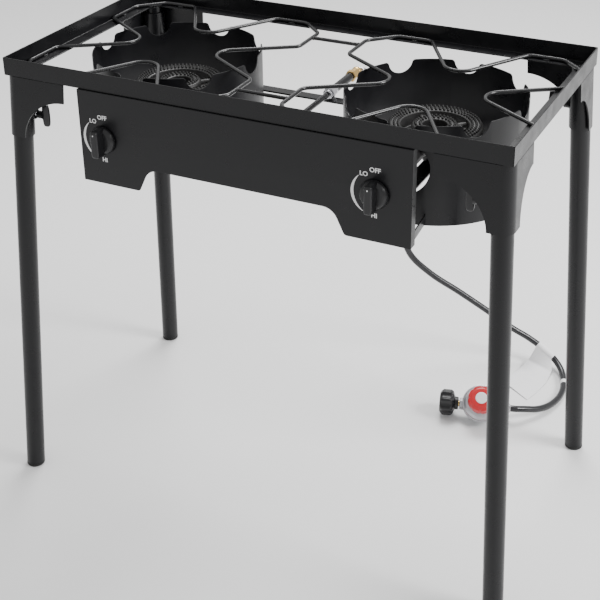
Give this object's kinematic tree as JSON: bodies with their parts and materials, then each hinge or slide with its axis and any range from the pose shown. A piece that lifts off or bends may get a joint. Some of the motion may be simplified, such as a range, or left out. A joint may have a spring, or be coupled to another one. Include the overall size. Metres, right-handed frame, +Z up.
{
  "type": "propane burner stand",
  "caption": "Outdoor propane stove stand for brewing kettles: an angle-iron frame on splayed tube legs, with ring burners in notched wind guards, wire grates, a control panel and a gas hose.",
  "frame": {"origin": "on the ground, midway between the four feet", "axes": "+X to the right along the stand's length, +Y from the control panel to the back, +Z up"},
  "size_m": [0.8704, 0.7037, 0.75],
  "materials": {
    "frame_paint": "satin black powder coat",
    "grate_paint": "satin black heat-proof paint",
    "guard_paint": "satin black heat-proof paint",
    "panel_paint": "satin black powder coat",
    "cast_iron": "black, as cast",
    "knob_plastic": "black, moulded",
    "foot_plug": "black, moulded",
    "brass": "turned",
    "zinc": "bright zinc plate",
    "hose_rubber": "black, smooth",
    "paper": "white, blank",
    "red_plastic": "red, moulded"
  },
  "bodies": {
    "stand": {"corner_bracket_front_left": "frame_paint", "leg_socket_front_left": "frame_paint", "corner_bracket_front_right": "frame_paint", "leg_socket_front_right": "frame_paint", "corner_bracket_rear_right": "frame_paint", "leg_socket_rear_right": "frame_paint", "corner_bracket_rear_left": "frame_paint", "leg_socket_rear_left": "frame_paint", "rail_front": "frame_paint", "rail_rear": "frame_paint", "rail_left": "frame_paint", "rail_right": "frame_paint", "link_rod_front": "grate_paint", "link_rod_rear": "grate_paint", "pot_grate_left": "grate_paint", "wind_guard_left": "guard_paint", "burner_left": "cast_iron", "burner_bar_left": "frame_paint", "panel_brace_left": "frame_paint", "manifold_tube_left": "frame_paint", "burner_bolt_left": "zinc", "gas_valve_left": "brass", "pot_grate_right": "grate_paint", "wind_guard_right": "guard_paint", "burner_right": "cast_iron", "burner_bar_right": "frame_paint", "panel_brace_right": "frame_paint", "manifold_tube_right": "frame_paint", "burner_bolt_right": "zinc", "gas_valve_right": "brass", "control_panel": "panel_paint", "cross_bar": "frame_paint", "rear_pipe": "frame_paint", "inlet_tube": "frame_paint", "tee_fitting": "brass", "inlet_fitting": "brass", "pipe_union": "zinc", "hose_nut": "zinc", "regulator_body": "zinc", "gas_hose": "hose_rubber", "hose_band": "paper", "hose_tag": "paper"},
    "leg_assembly_front_left": {"leg_front_left": "frame_paint", "foot_front_left": "foot_plug"},
    "leg_assembly_front_right": {"leg_front_right": "frame_paint", "foot_front_right": "foot_plug"},
    "leg_assembly_rear_right": {"leg_rear_right": "frame_paint", "foot_rear_right": "foot_plug"},
    "leg_assembly_rear_left": {"leg_rear_left": "frame_paint", "foot_rear_left": "foot_plug"},
    "clamp_screw_front_left_body": {"clamp_screw_front_left": "knob_plastic"},
    "clamp_screw_front_right_body": {"clamp_screw_front_right": "knob_plastic"},
    "clamp_screw_rear_right_body": {"clamp_screw_rear_right": "knob_plastic"},
    "clamp_screw_rear_left_body": {"clamp_screw_rear_left": "knob_plastic"},
    "knob_left_body": {"knob_left": "knob_plastic"},
    "knob_right_body": {"knob_right": "knob_plastic"},
    "air_shutter_left_body": {"air_shutter_left": "frame_paint"},
    "air_shutter_right_body": {"air_shutter_right": "frame_paint"},
    "regulator_knob_body": {"regulator_knob": "red_plastic"},
    "tank_nut_body": {"tank_nut": "knob_plastic"}
  },
  "joints": [
    {"name": "leg_slide_front_left", "type": "slide", "parent": "stand", "child": "leg_assembly_front_left", "axis": [-0.0524, -0.0524, -0.9973], "range_m": [0, 0.08]},
    {"name": "leg_slide_front_right", "type": "slide", "parent": "stand", "child": "leg_assembly_front_right", "axis": [0.0524, -0.0524, -0.9973], "range_m": [0, 0.08]},
    {"name": "leg_slide_rear_right", "type": "slide", "parent": "stand", "child": "leg_assembly_rear_right", "axis": [0.0524, 0.0524, -0.9973], "range_m": [0, 0.08]},
    {"name": "leg_slide_rear_left", "type": "slide", "parent": "stand", "child": "leg_assembly_rear_left", "axis": [-0.0524, 0.0524, -0.9973], "range_m": [0, 0.08]},
    {"name": "clamp_screw_turn_front_left", "type": "hinge", "parent": "stand", "child": "clamp_screw_front_left_body", "pos_m": [-0.38522, -0.19023, 0.66], "axis": [1, 0, 0], "continuous": true},
    {"name": "clamp_screw_turn_front_right", "type": "hinge", "parent": "stand", "child": "clamp_screw_front_right_body", "pos_m": [0.38522, -0.19023, 0.66], "axis": [-1, 0, 0], "continuous": true},
    {"name": "clamp_screw_turn_rear_right", "type": "hinge", "parent": "stand", "child": "clamp_screw_rear_right_body", "pos_m": [0.38522, 0.19023, 0.66], "axis": [-1, 0, 0], "continuous": true},
    {"name": "clamp_screw_turn_rear_left", "type": "hinge", "parent": "stand", "child": "clamp_screw_rear_left_body", "pos_m": [-0.38522, 0.19023, 0.66], "axis": [1, 0, 0], "continuous": true},
    {"name": "knob_turn_left", "type": "hinge", "parent": "stand", "child": "knob_left_body", "pos_m": [-0.2246, -0.209, 0.648], "axis": [0, -1, 0], "range_deg": [0, 180]},
    {"name": "knob_turn_right", "type": "hinge", "parent": "stand", "child": "knob_right_body", "pos_m": [0.2122, -0.209, 0.648], "axis": [0, -1, 0], "range_deg": [0, 180]},
    {"name": "air_shutter_turn_left", "type": "hinge", "parent": "stand", "child": "air_shutter_left_body", "pos_m": [-0.2246, -0.1518, 0.648], "axis": [0, -1, 0], "range_deg": [-35, 35]},
    {"name": "air_shutter_turn_right", "type": "hinge", "parent": "stand", "child": "air_shutter_right_body", "pos_m": [0.2122, -0.1518, 0.648], "axis": [0, -1, 0], "range_deg": [-35, 35]},
    {"name": "regulator_knob_turn", "type": "hinge", "parent": "stand", "child": "regulator_knob_body", "pos_m": [0.24811, 0.21809, 0.04723], "axis": [0.1638, -0.5935, 0.788], "continuous": true},
    {"name": "tank_nut_turn", "type": "hinge", "parent": "stand", "child": "tank_nut_body", "pos_m": [0.20331, 0.22253, 0.0265], "axis": [-0.964, -0.266, 0], "continuous": true}
  ]
}
